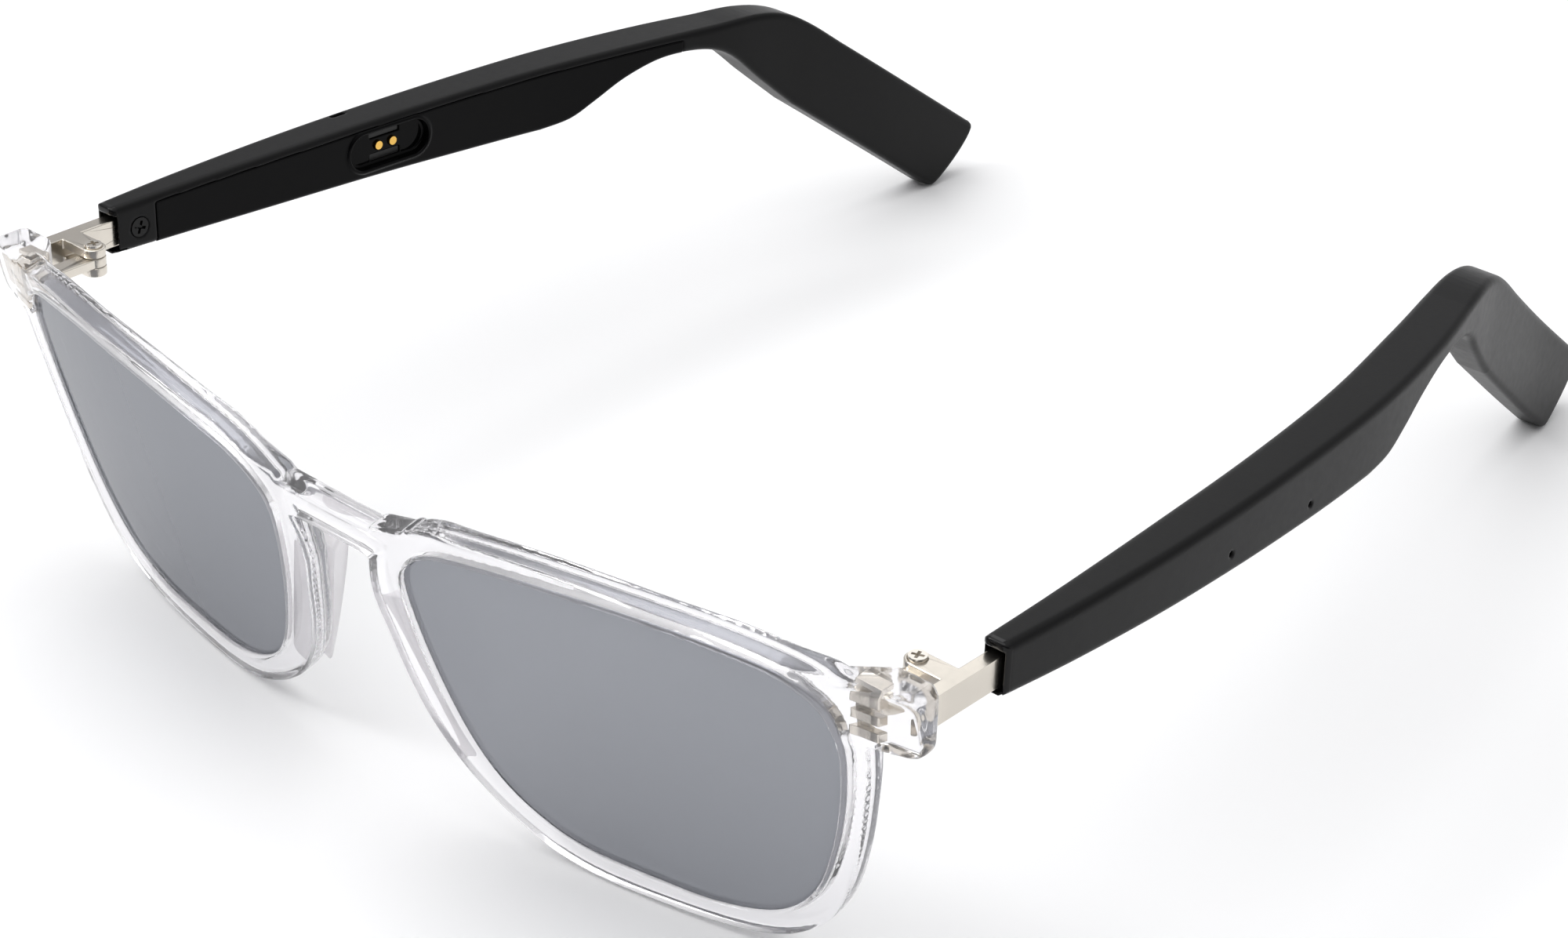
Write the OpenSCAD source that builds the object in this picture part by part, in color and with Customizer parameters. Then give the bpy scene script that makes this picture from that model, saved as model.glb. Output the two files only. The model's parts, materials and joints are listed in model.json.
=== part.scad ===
// Smart glasses: a clear one-piece front with two tinted lenses, nickel hinges,
// and two hollow black temples that carry the sound and control electronics.
// Millimetres. +Y runs from the front to the ear tips, +Z is up, +X is the
// wearer's left. The glasses stand on the rims and the ear tips at z = 0.

/* [Front] */
// Half the distance between the two hinge pins
hinge_x = 61; // [60:0.5:64]
// Depth of the rims from front to back
rim_depth = 3.2; // [3:0.1:4]
// Extra width added all around the rims
rim_add = 0; // [-0.4:0.1:1]
// Radius of the wrap curve, seen from above
wrap_r = 212; // [190:2:260]
// Lean of the front against the hinge pins, in degrees
face_tilt = 13.3; // [8:0.1:16]
// Depth of the nose pads behind the rims
pad_depth = 4.4; // [3:0.2:5]

/* [Lenses] */
// Thickness of a lens
lens_t = 1.8; // [1.4:0.1:2.2]
// How far a lens reaches into the groove of its rim
groove = 0.8; // [0.5:0.1:1.2]

/* [Hinges] */
// Height of the hinge barrel and of the temple arm
arm_h = 3.4; // [3:0.1:3.8]
// Thickness of the temple arm
arm_t = 1.7; // [1.4:0.1:1.8]
// Outer radius of the hinge rings
ring_r = 1.35; // [1.25:0.05:1.5]
// Radius of the hinge screw's shank
pin_r = 0.7; // [0.5:0.05:0.8]
// Radius of the hinge screw's head
screw_head_r = 0.95; // [0.9:0.05:1.1]
// Gap between the front leaf and the parts that turn around it
running_gap = 0.05; // [0.03:0.01:0.08]

/* [Temples] */
// Wall of the temple shell
wall = 1; // [0.8:0.1:1.2]
// Thickness of the inner cover
cover_t = 0.9; // [0.7:0.1:1]
// Where the inner cover starts, behind the hinge pin
cover_start = 11.4; // [11:0.2:13]
// Where the inner cover ends
cover_end = 92; // [88:1:94]
// Radius of the round ends of the charging pocket
pocket_r = 2.3; // [2:0.1:2.4]
// Depth of the charging pocket
pocket_d = 0.9; // [0.8:0.1:1.2]
// Radius of the microphone pinholes
mic_r = 0.35; // [0.3:0.05:0.5]

/* [Hidden] */

$fn = 48;
eps = 0.01;

// Placing. The modules below work in the hinge frame: its origin lies midway
// between the hinge pins at the top of the arms, and its Z runs along the pins.
stand_tilt = 2;
stand_y = -62.09;
stand_z = 37.18;

// The front face passes through the plane x = 0 at this depth.
face_y = -19.9;
// The lugs end at this plane, and the arms stop against it when open.
lug_back = -4.5;

// Lens opening, seen from the front: x, and the height along the face.
opening_points = [
    [10, -6.6], [11.6, -3.4], [15.1, -1.2], [20, -0.2], [27, 0.6], [34.5, 0.9],
    [42, 0.8], [49.2, 0], [54.8, -1.4], [58.4, -4.2], [59.5, -8.6],
    [59.3, -13.1], [58.5, -18], [57.2, -23.2], [55.2, -28.6], [52.4, -32.5],
    [48.6, -34.9], [42.5, -36], [35, -35.8], [27.9, -35.5], [22.8, -34.1],
    [18.1, -31.1], [14.8, -26.8], [12.4, -20.8], [10.6, -13.4]
];

// Outer edge of a rim, in the same frame.
rim_points = [
    [4.9, -9], [7, -2.5], [13.9, 2.1], [20, 3], [27.6, 3.6], [34.5, 3.6],
    [41.5, 3.2], [49.7, 2.5], [55.4, 1.3], [60.2, 0], [62.3, -4.6],
    [62.3, -10.4], [61.2, -17.2], [59.7, -23.8], [57.6, -30.2], [54.6, -34.8],
    [50, -37.7], [44, -38.8], [36, -39], [28.4, -38.8], [23, -37.7],
    [18.8, -35.6], [15, -32.9], [11.8, -29.7], [9, -25.4], [7.2, -20.6],
    [5.9, -15]
];

// Top of the bridge, with the step where each brow begins.
bridge_top_points = [
    [0, -0.7], [6.8, -0.7], [7.3, -0.1], [12, 1.1], [12.4, 1.7], [18, 1],
    [13, -10.4]
];

// Keyhole under the bridge, from the nasal rim up to the middle.
keyhole_points = [
    [5, -10.4], [6.4, -8.6], [7.2, -6.8], [6.5, -5.4], [4.4, -4.8], [0, -4.7]
];

// Lug seen from above: x outboard of the hinge pin, and y.
lug_plan = [
    [-9, -20], [7.2, -20], [7.2, -6.2], [6.7, -5], [5.6, -4.5],
    [1.6, -4.5], [-1, -6.8], [-3.6, -9]
];
lug_top = 2;
lug_bottom = -5.1;
lug_round = 1.8;

pad_lean = 19;
// Side of a nose pad: height along the pad, and the share of its full depth.
pad_side = [
    [10.4, 0], [10.2, 0.6], [9.2, 0.92], [6.5, 1], [2.5, 0.97], [-3, 0.8],
    [-8, 0.6], [-11.5, 0.4], [-12.4, 0]
];

// Temple seen from above: y, and the distance outboard of the hinge pin.
plan_outer = [
    [5.3, 6.4], [17, 7.1], [34, 7.4], [52, 6.8], [72, 5.2],
    [88, 2.4], [101, -1], [112, -3.8], [130, -7.2], [147, -8.9]
];
plan_inner = [
    [5.3, 3.2], [17, 2.9], [34, 2.1], [52, 1], [70, -0.9],
    [87, -4], [100, -6.7], [110, -8.3], [128, -11.2], [147, -13.4]
];

// Temple seen from the side: y and z, along the top and back along the bottom.
temple_top_z = 1.6;
temple_front_y = 5.3;
bend_run = [[98, 1.6], [104, 1.6], [109, 0.6], [113.5, -1.8], [119, -5.8]];
tip_run = [[143.6, -23.6], [145, -25.2], [142.6, -28.6], [138.2, -32.2], [136.4, -32]];
neck_run = [
    [111, -13.2], [105, -7.9], [100.6, -3.8], [97, -1.9], [92.5, -1.2],
    [88, -1.4], [83, -2.8], [78.5, -4.9], [74.6, -6.5], [70, -6.9]
];
belly_run = [[70, -6.9], [58, -6.5], [42, -5.8], [24, -5.1], [5.3, -4.2]];

// Arm, in the hinge frame and outboard of the pin.
arm_in = 3.8;
arm_end = 16.2;
ring_h = (arm_h - 1.2) / 2;
leaf_top = -ring_h - running_gap;
leaf_bottom = -arm_h + ring_h + running_gap;
head_h = 0.5;
head_proud = 0.35;
slot_w = 0.36;
screw_r = 1.2;
mouth_y = 7;
arm_screw_y = 9;

// Charging pocket, on the inner face.
pocket_y = 46;
pocket_z = -2.1;
pocket_half = 3.7;
pocket_rim_w = 0.6;
pocket_rim_h = 0.25;
contact_pitch = 2.2;
contact_r = 0.55;
contact_proud = 0.3;
magnet_proud = -0.2;

cover_top = 0.75;
cavity_start = 12.6;
cavity_end = 84;
cavity_top = 0.7;
mic_places = [[41, -3.3], [56.5, -4.2]];
port_y = 70.5;
light_y = 42;
light_half = 0.8;
light_r = 0.35;

module stand() {
    translate([0, stand_y, stand_z])
        rotate([-stand_tilt, 0, 0])
            children();
}

module on_left() {
    stand()
        translate([hinge_x, 0, 0])
            children();
}

module on_right() {
    stand()
        mirror([1, 0, 0])
            translate([hinge_x, 0, 0])
                children();
}

module both_sides() {
    children();
    mirror([1, 0, 0])
        children();
}

// Local frame of the front: x, depth behind the face, height along the face.
module on_face() {
    translate([0, face_y, 0])
        rotate([face_tilt, 0, 0])
            children();
}

// One point of a Catmull-Rom curve between b and c.
function blend_point(a, b, c, d, t) =
    0.5 * (2 * b + (c - a) * t + (2 * a - 5 * b + 4 * c - d) * t * t
        + (3 * b - a - 3 * c + d) * t * t * t);

function closed_curve(p, steps) = [
    for (i = [0 : len(p) - 1])
        for (k = [0 : steps - 1])
            blend_point(
                p[(i + len(p) - 1) % len(p)], p[i],
                p[(i + 1) % len(p)], p[(i + 2) % len(p)], k / steps)
];

function open_curve(p, steps) = concat(
    [
        for (i = [0 : len(p) - 2])
            for (k = [0 : steps - 1])
                blend_point(
                    p[max(i - 1, 0)], p[i],
                    p[i + 1], p[min(i + 2, len(p) - 1)], k / steps)
    ],
    [p[len(p) - 1]]);

// Moves each point of a clockwise loop outward by d.
function outward(p, i) =
    let (t = p[(i + 1) % len(p)] - p[(i + len(p) - 1) % len(p)])
    [-t.y, t.x] / norm(t);
function grown(p, d) = [for (i = [0 : len(p) - 1]) p[i] + d * outward(p, i)];

function backward(p) = [for (i = [len(p) - 1 : -1 : 0]) p[i]];
function swapped(p) = [for (q = p) [q.y, q.x]];
function shifted(p, d) = [for (q = p) q + d];

opening = closed_curve(opening_points, 4);
outer_curve = open_curve(plan_outer, 4);
inner_curve = open_curve(plan_inner, 4);
side_outline = concat(
    [[temple_front_y, temple_top_z]],
    open_curve(bend_run, 4),
    open_curve(tip_run, 3),
    open_curve(neck_run, 3),
    open_curve(belly_run, 2));

function outer_u(y) = lookup(y, outer_curve);
function inner_u(y) = lookup(y, inner_curve);
function middle_u(y) = (outer_u(y) + inner_u(y)) / 2;
function turn_at(y) = -atan((middle_u(y + 4) - middle_u(y - 4)) / 8);

// Extrudes a front-view shape backward from the face.
module through_face(from, to) {
    translate([0, to, 0])
        rotate([90, 0, 0])
            linear_extrude(to - from)
                children();
}

module wrap_cylinder(r, extra = 0) {
    translate([0, wrap_r, -60 - extra])
        cylinder(r = r, h = 90 + 2 * extra, $fn = 180);
}

// Curved layer of the front between two depths.
module face_layer(from, to) {
    difference() {
        wrap_cylinder(wrap_r - from);
        wrap_cylinder(wrap_r - to, 1);
    }
}

module bridge_half() {
    polygon(concat(bridge_top_points, open_curve(keyhole_points, 4)));
}

module rim_shape() {
    polygon(grown(closed_curve(rim_points, 4), rim_add));
}

// Lens with its edge in the groove.
module lens_body() {
    on_face()
        intersection() {
            face_layer((rim_depth - lens_t) / 2, (rim_depth + lens_t) / 2);
            through_face(-1, 20)
                polygon(grown(opening, groove));
        }
}

// Solid end piece beside the lens, cut flat where the arm stops.
module lug_block() {
    intersection() {
        on_face()
            wrap_cylinder(wrap_r);
        translate([hinge_x, 0, -20])
            linear_extrude(40)
                polygon(lug_plan);
        translate([hinge_x - 9 + lug_round, 0, lug_bottom + lug_round])
            rotate([90, 0, 0])
                linear_extrude(20)
                    offset(r = lug_round)
                        square([16.2 - 2 * lug_round, lug_top - lug_bottom - 2 * lug_round]);
    }
}

module front_body() {
    difference() {
        union() {
            on_face()
                intersection() {
                    face_layer(0, rim_depth);
                    through_face(-1, 20)
                        both_sides() {
                            rim_shape();
                            bridge_half();
                        }
                }
            both_sides()
                lug_block();
        }
        both_sides() {
            on_face()
                through_face(-2, 20)
                    polygon(opening);
            lens_body();
            translate([hinge_x, 0, 0])
                front_leaf();
        }
    }
}

// Nose pad: a wedge that grows from the back of the nasal rim, deepest near its
// top and thinning toward its foot.
module pad_body() {
    back = rim_depth + pad_depth;
    difference() {
        on_face()
            translate([9.6, 0, -20.6])
                rotate([0, -pad_lean, 0])
                    intersection() {
                        translate([0, 0, -14])
                            linear_extrude(28)
                                polygon([
                                    [-2.6, 1.5], [2.2, 1.5], [2.6, back],
                                    [1.4, back + 0.5], [0.2, back - 0.3]
                                ]);
                        translate([-10, 0, 0])
                            rotate([90, 0, 90])
                                linear_extrude(20)
                                    polygon([
                                        for (q = open_curve(pad_side, 3))
                                            [1.5 + q.y * (back - 1.5), q.x]
                                    ]);
                    }
        on_face()
            face_layer(-20, rim_depth);
    }
}

// Front leaf of a hinge: three ribs cast into the lug and one ring on the pin.
module front_leaf() {
    rib_h = 1.1;
    rib_t = 1.7;
    rib_y = -8.2;
    rib_pitch = 1.95;
    rib_len = 3.4;
    rib_x = -0.8;
    back_t = 0.5;
    difference() {
        union() {
            translate([0, 0, leaf_bottom])
                cylinder(r = ring_r, h = leaf_top - leaf_bottom);
            translate([-1.1, rib_y + rib_t, leaf_bottom])
                cube([2.2, -rib_y - rib_t, leaf_top - leaf_bottom]);
            translate([rib_x, rib_y + rib_t - back_t, -arm_h / 2 - rib_pitch - rib_h / 2])
                cube([1.9, back_t, 2 * rib_pitch + rib_h]);
            for (k = [-1 : 1])
                translate([rib_x, rib_y, -arm_h / 2 + k * rib_pitch - rib_h / 2])
                    cube([rib_len, rib_t, rib_h]);
        }
        translate([0, 0, leaf_bottom - 1])
            cylinder(r = pin_r + running_gap, h = arm_h);
    }
}

module cross_slot(r, depth) {
    for (a = [0, 90])
        rotate([0, 0, a + 20])
            translate([-r, -slot_w / 2, -depth])
                cube([2 * r, slot_w, depth + 1]);
}

module pin_screw() {
    difference() {
        union() {
            translate([0, 0, -arm_h])
                cylinder(r = pin_r, h = arm_h - head_h + eps);
            translate([0, 0, -head_h])
                cylinder(r = screw_head_r, h = head_h + head_proud);
        }
        translate([0, 0, head_proud])
            cross_slot(0.65, 0.35);
    }
}

// Nickel arm: a bar that runs into the temple, and a clevis around the leaf.
module arm_body() {
    difference() {
        union() {
            translate([arm_in, lug_back, -arm_h])
                cube([arm_t, arm_end - lug_back, arm_h]);
            for (z = [-ring_h, -arm_h])
                translate([0, 0, z]) {
                    cylinder(r = ring_r, h = ring_h);
                    translate([0, -ring_r, 0])
                        cube([arm_in + eps, 2 * ring_r, ring_h]);
                }
        }
        translate([0, 0, -arm_h - 1])
            cylinder(r = pin_r, h = arm_h + 2);
        translate([0, 0, -head_h])
            cylinder(r = screw_head_r, h = 2);
        translate([arm_in - 1, arm_screw_y, -arm_h / 2])
            rotate([0, 90, 0])
                cylinder(r = 0.6, h = 4);
    }
}

module arm_screw_body() {
    face = inner_u(arm_screw_y);
    difference() {
        translate([face, arm_screw_y, -arm_h / 2])
            rotate([0, 90, 0]) {
                cylinder(r = screw_r, h = arm_in - face);
                cylinder(r = 0.6, h = arm_in - face + arm_t + 0.6);
            }
        translate([face, arm_screw_y, -arm_h / 2])
            rotate([0, -90, 0])
                cross_slot(0.8, 0.3);
    }
}

module side_prism() {
    translate([-20, 0, 0])
        rotate([90, 0, 90])
            linear_extrude(40)
                polygon(side_outline);
}

// Plan strip between two distances from the inner and the outer face.
module plan_strip(from_inner, from_outer) {
    translate([0, 0, -40])
        linear_extrude(50)
            polygon(concat(
                swapped(shifted(outer_curve, [0, -from_outer])),
                swapped(backward(shifted(inner_curve, [0, from_inner])))));
}

module temple_solid() {
    intersection() {
        side_prism();
        plan_strip(0, 0);
    }
}

// Strip of the inner wall that the cover takes up.
module cover_strip() {
    intersection() {
        side_prism();
        translate([0, 0, -40])
            linear_extrude(50)
                polygon(concat(
                    swapped(shifted(inner_curve, [0, cover_t])),
                    swapped(backward(inner_curve))));
        translate([-20, cover_start, -20])
            cube([40, cover_end - cover_start, 20 + cover_top]);
    }
}

module cavity() {
    intersection() {
        translate([0, 0, wall])
            side_prism();
        plan_strip(cover_t - 0.2, wall);
        translate([-20, cavity_start, -20])
            cube([40, cavity_end - cavity_start, 20 + cavity_top]);
    }
}

// Space for the arm, with a wider mouth at the front.
module arm_space() {
    translate([arm_in, 0, -arm_h])
        cube([arm_t, arm_end, arm_h]);
    translate([arm_in - 0.15, 0, -arm_h - 0.4])
        cube([arm_t + 0.35, mouth_y, arm_h + 0.9]);
}

module shell_body(light = false) {
    difference() {
        temple_solid();
        cover_strip();
        cavity();
        arm_space();
        for (m = mic_places)
            translate([middle_u(m.x), m.x, m.y])
                rotate([0, 90, 0])
                    cylinder(r = mic_r, h = 8);
        translate([0, arm_screw_y, -arm_h / 2])
            rotate([0, 90, 0]) {
                cylinder(r = screw_r, h = arm_in);
                cylinder(r = 0.6, h = arm_in + arm_t + 0.6);
            }
        port_space();
        if (light)
            light_port();
    }
}

// Slot for the status light, in the outer edge of the top.
module light_port() {
    translate([outer_u(light_y) - 0.9, light_y, 0])
        rotate([0, 0, turn_at(light_y)]) {
            for (s = [-1, 1])
                translate([0, s * light_half, 0])
                    cylinder(r = light_r, h = 3);
            translate([-light_r, -light_half, 0])
                cube([2 * light_r, 2 * light_half, 3]);
        }
}

// Slot in the underside below the speaker.
module port_space() {
    translate([middle_u(port_y), port_y, -7.5])
        rotate([0, 0, turn_at(port_y)])
            translate([-1, -4, 0])
                cube([2, 8, 3]);
}

module stadium(r, h) {
    for (s = [-1, 1])
        translate([0, s * pocket_half, 0])
            rotate([0, 90, 0])
                cylinder(r = r, h = h);
    translate([0, -pocket_half, -r])
        cube([h, 2 * pocket_half, 2 * r]);
}

// Frame of the charging pocket: its X points from the inner face into the temple.
module at_pocket() {
    translate([inner_u(pocket_y), pocket_y, pocket_z])
        rotate([0, 0, turn_at(pocket_y)])
            children();
}

module cover_body() {
    difference() {
        union() {
            cover_strip();
            at_pocket() {
                translate([-pocket_rim_h, 0, 0])
                    stadium(pocket_r + pocket_rim_w - 0.15, pocket_rim_h + 0.1);
                stadium(pocket_r + 0.3, pocket_d + 0.8);
            }
        }
        at_pocket() {
            translate([-2, 0, 0])
                stadium(pocket_r, pocket_d + 2);
            for (s = [-1, 1]) {
                contact(s, contact_proud);
                magnet(s, 0.3);
            }
        }
        arm_space();
    }
}

// Round charging contact in the pocket floor; s is -1 for the front one.
module contact(s, proud) {
    translate([pocket_d - proud, s * contact_pitch / 2, 0])
        rotate([0, 90, 0])
            cylinder(r = contact_r, h = proud + 0.7);
}

// Bar magnet below (s = -1) or above the contacts.
module magnet(s, proud) {
    translate([pocket_d - proud, -2.3, s * 1.5 - 0.45])
        cube([proud + 0.6, 4.6, 0.9]);
}

module inside(y, du = 0) {
    translate([middle_u(y) + du, y, 0])
        rotate([0, 0, turn_at(y)])
            children();
}

module battery_body() {
    inside(29)
        translate([-1.2, -9, -3.8])
            cube([2.2, 18, 4.2]);
}

module board_body() {
    inside(50.5) {
        translate([-0.3, -10.5, -4.4])
            cube([0.6, 21, 4.6]);
        for (y = [-3, 2.2])
            translate([0.2, y, -2.6])
                cube([0.8, 3.4, 2.4]);
    }
}

module touch_body() {
    inside(29)
        translate([1.05, -7, -3])
            cube([0.15, 14, 3]);
}

module microphone_body(m) {
    inside(m.x)
        translate([outer_u(m.x) - middle_u(m.x) - wall - 1.25, -1, m.y - 0.9])
            cube([1.15, 2, 1.8]);
}

module speaker_body() {
    inside(port_y)
        difference() {
            translate([-1.6, -5, -5])
                cube([3.3, 10, 5.3]);
            translate([-0.8, -3.5, -6])
                cube([1.6, 7, 1.4]);
        }
}

// Plate of the speaker port with a row of holes.
module mesh_body() {
    translate([middle_u(port_y), port_y, -6.3])
        rotate([0, 0, turn_at(port_y)])
            difference() {
                translate([-1, -3.8, 0])
                    cube([2, 7.6, 0.4]);
                for (k = [-3 : 3])
                    translate([0, k, -1])
                        cylinder(r = 0.3, h = 3, $fn = 24);
            }
}

module antenna_body() {
    inside(80)
        translate([-0.8, -3.6, 0.2])
            cube([1.6, 7.2, 0.3]);
}

module front_frame() {
    color("gainsboro")
        stand()
            front_body();
}

module lens_left() {
    color("slategray")
        stand()
            lens_body();
}

module lens_right() {
    color("slategray")
        stand()
            mirror([1, 0, 0])
                lens_body();
}

module nose_pad_left() {
    color("whitesmoke")
        stand()
            pad_body();
}

module nose_pad_right() {
    color("whitesmoke")
        stand()
            mirror([1, 0, 0])
                pad_body();
}

module front_hinge_left() {
    color("silver")
        on_left()
            front_leaf();
}

module front_hinge_right() {
    color("silver")
        on_right()
            front_leaf();
}

module hinge_screw_left() {
    color("lightgray")
        on_left()
            pin_screw();
}

module hinge_screw_right() {
    color("lightgray")
        on_right()
            pin_screw();
}

module temple_arm_left() {
    color("tan")
        on_left()
            arm_body();
}

module temple_arm_right() {
    color("tan")
        on_right()
            arm_body();
}

module arm_screw_left() {
    color("black")
        on_left()
            arm_screw_body();
}

module arm_screw_right() {
    color("black")
        on_right()
            arm_screw_body();
}

module temple_shell_left() {
    color("dimgray")
        on_left()
            shell_body();
}

module temple_shell_right() {
    color("dimgray")
        on_right()
            shell_body(light = true);
}

module inner_cover_left() {
    color("black")
        on_left()
            cover_body();
}

module inner_cover_right() {
    color("black")
        on_right()
            cover_body();
}

module charging_contact_front_left() {
    color("gold")
        on_left()
            at_pocket()
                contact(-1, contact_proud);
}

module charging_contact_front_right() {
    color("gold")
        on_right()
            at_pocket()
                contact(-1, contact_proud);
}

module charging_contact_rear_left() {
    color("gold")
        on_left()
            at_pocket()
                contact(1, contact_proud);
}

module charging_contact_rear_right() {
    color("gold")
        on_right()
            at_pocket()
                contact(1, contact_proud);
}

module charging_magnet_upper_left() {
    color("darkslategray")
        on_left()
            at_pocket()
                magnet(1, magnet_proud);
}

module charging_magnet_upper_right() {
    color("darkslategray")
        on_right()
            at_pocket()
                magnet(1, magnet_proud);
}

module charging_magnet_lower_left() {
    color("darkslategray")
        on_left()
            at_pocket()
                magnet(-1, magnet_proud);
}

module charging_magnet_lower_right() {
    color("darkslategray")
        on_right()
            at_pocket()
                magnet(-1, magnet_proud);
}

module battery_left() {
    color("lightsteelblue")
        on_left()
            battery_body();
}

module battery_right() {
    color("lightsteelblue")
        on_right()
            battery_body();
}

module circuit_board_left() {
    color("darkgreen")
        on_left()
            board_body();
}

module circuit_board_right() {
    color("darkgreen")
        on_right()
            board_body();
}

module touch_sensor_left() {
    color("orange")
        on_left()
            touch_body();
}

module touch_sensor_right() {
    color("orange")
        on_right()
            touch_body();
}

module microphone_front_left() {
    color("goldenrod")
        on_left()
            microphone_body(mic_places[0]);
}

module microphone_front_right() {
    color("goldenrod")
        on_right()
            microphone_body(mic_places[0]);
}

module microphone_rear_left() {
    color("goldenrod")
        on_left()
            microphone_body(mic_places[1]);
}

module microphone_rear_right() {
    color("goldenrod")
        on_right()
            microphone_body(mic_places[1]);
}

module speaker_left() {
    color("gray")
        on_left()
            speaker_body();
}

module speaker_right() {
    color("gray")
        on_right()
            speaker_body();
}

module speaker_mesh_left() {
    color("darkgray")
        on_left()
            mesh_body();
}

module speaker_mesh_right() {
    color("darkgray")
        on_right()
            mesh_body();
}

module antenna_left() {
    color("peru")
        on_left()
            antenna_body();
}

module antenna_right() {
    color("peru")
        on_right()
            antenna_body();
}

front_frame();
lens_left();
lens_right();
nose_pad_left();
nose_pad_right();
front_hinge_left();
front_hinge_right();
hinge_screw_left();
hinge_screw_right();
temple_arm_left();
temple_arm_right();
arm_screw_left();
arm_screw_right();
temple_shell_left();
temple_shell_right();
inner_cover_left();
inner_cover_right();
charging_contact_front_left();
charging_contact_front_right();
charging_contact_rear_left();
charging_contact_rear_right();
charging_magnet_upper_left();
charging_magnet_upper_right();
charging_magnet_lower_left();
charging_magnet_lower_right();
battery_left();
battery_right();
circuit_board_left();
circuit_board_right();
touch_sensor_left();
touch_sensor_right();
microphone_front_left();
microphone_front_right();
microphone_rear_left();
microphone_rear_right();
speaker_left();
speaker_right();
speaker_mesh_left();
speaker_mesh_right();
antenna_left();
antenna_right();
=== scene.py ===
"""Smart glasses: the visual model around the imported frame.

Lengths are in millimetres in the hinge frame: x to the wearer's left, y back, z along the hinge pins, with
the origin midway between the pins. add_mesh places them in the row frame in metres. Lights, floor and camera
are given in the row frame in metres.
"""
import json
import math

import bpy
import numpy as np
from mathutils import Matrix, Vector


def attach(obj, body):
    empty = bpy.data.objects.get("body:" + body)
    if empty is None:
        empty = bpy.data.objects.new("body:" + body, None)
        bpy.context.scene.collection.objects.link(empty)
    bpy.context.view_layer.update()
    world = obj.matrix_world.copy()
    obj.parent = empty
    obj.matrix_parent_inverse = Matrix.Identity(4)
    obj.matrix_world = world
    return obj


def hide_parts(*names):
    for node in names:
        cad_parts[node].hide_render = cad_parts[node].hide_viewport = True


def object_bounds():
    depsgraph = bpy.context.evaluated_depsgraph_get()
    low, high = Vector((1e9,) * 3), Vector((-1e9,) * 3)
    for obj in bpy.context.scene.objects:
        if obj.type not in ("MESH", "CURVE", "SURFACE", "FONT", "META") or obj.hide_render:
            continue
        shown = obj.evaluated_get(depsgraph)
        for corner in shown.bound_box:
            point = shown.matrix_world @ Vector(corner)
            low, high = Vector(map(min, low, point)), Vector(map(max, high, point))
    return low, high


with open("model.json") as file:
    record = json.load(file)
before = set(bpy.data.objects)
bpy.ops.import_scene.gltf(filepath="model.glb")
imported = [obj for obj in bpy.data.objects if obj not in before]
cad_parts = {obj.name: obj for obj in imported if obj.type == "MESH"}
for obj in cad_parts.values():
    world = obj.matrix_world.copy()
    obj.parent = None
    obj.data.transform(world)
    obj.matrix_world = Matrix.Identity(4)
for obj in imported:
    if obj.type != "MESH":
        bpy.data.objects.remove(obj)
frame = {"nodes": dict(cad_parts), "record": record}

import openvdb
from mathutils import Matrix

CAD_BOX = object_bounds()

# ---------------------------------------------------------------- dimensions
STAND_TILT = math.radians(2)
STAND_Y, STAND_Z = -62.09, 37.18
HINGE_X = 61.0
FACE_Y = -19.9
FACE_TILT = math.radians(13.3)
WRAP_R = 212.0
RIM_DEPTH = 3.2
PAD_DEPTH = 4.4
LENS_T = 1.8
GROOVE = 0.5
ARM_IN, ARM_T, ARM_H, ARM_END = 3.8, 1.7, 3.4, 16.2
COVER_T, COVER_START, COVER_END, COVER_TOP = 0.9, 11.4, 92.0, 0.75
POCKET_Y, POCKET_Z, POCKET_HALF = 46.0, -2.1, 3.7
POCKET_R, POCKET_D = 2.3, 0.9
ARM_SCREW_Y = 9.0
MIC_PLACES = [(41.0, -3.3), (56.5, -4.2)]
MIC_R = 0.35
PORT_Y = 70.5
LIGHT_Y, LIGHT_HALF, LIGHT_R = 42.0, 0.8, 0.35

# Lens opening and rim, in the face frame: x and the height along the face.
OPENING = [
    (10, -6.6), (11.6, -3.4), (15.1, -1.2), (20, -0.2), (27, 0.6), (34.5, 0.9), (42, 0.8), (49.2, 0),
    (54.8, -1.4), (58.4, -4.2), (59.5, -8.6), (59.3, -13.1), (58.5, -18), (57.2, -23.2), (55.2, -28.6),
    (52.4, -32.5),
    (48.6, -34.9), (42.5, -36), (35, -35.8), (27.9, -35.5), (22.8, -34.1), (18.1, -31.1), (14.8, -26.8),
    (12.4, -20.8), (10.6, -13.4),
]
RIM = [
    (4.9, -9), (7, -2.5), (13.9, 2.1), (20, 3), (27.6, 3.6), (34.5, 3.6), (41.5, 3.2), (49.7, 2.5),
    (55.4, 1.3), (60.2, 0), (62.3, -4.6), (62.3, -10.4), (61.2, -17.2), (59.7, -23.8), (57.6, -30.2),
    (54.6, -34.8),
    (50, -37.7), (44, -38.8), (36, -39), (28.4, -38.8), (23, -37.7), (18.8, -35.6), (15, -32.9),
    (11.8, -29.7),
    (9, -25.4), (7.2, -20.6), (5.9, -15),
]
KEYHOLE = [(5, -10.4), (6.4, -8.6), (7.2, -6.8), (6.5, -5.4), (4.4, -4.8), (0, -4.7)]
BRIDGE_TOP = [(0, -0.7), (6.8, -0.7), (7.3, -0.1), (12, 1.1), (12.4, 1.7), (18, 1), (13, -10.4)]
LUG_PLAN = [
    (-9, -20), (7.2, -20), (7.2, -6.2), (6.7, -5), (5.6, -4.5), (1.6, -4.5), (-1, -6.8), (-3.6, -9),
]
LUG_TOP, LUG_BOTTOM = 2.0, -5.1
LUG_WIDTH, LUG_ROUND = 16.2, 1.8
LUG_INBOARD = 9
PAD_LEAN = math.radians(19)
PAD_AT = (9.6, -20.6)
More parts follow.
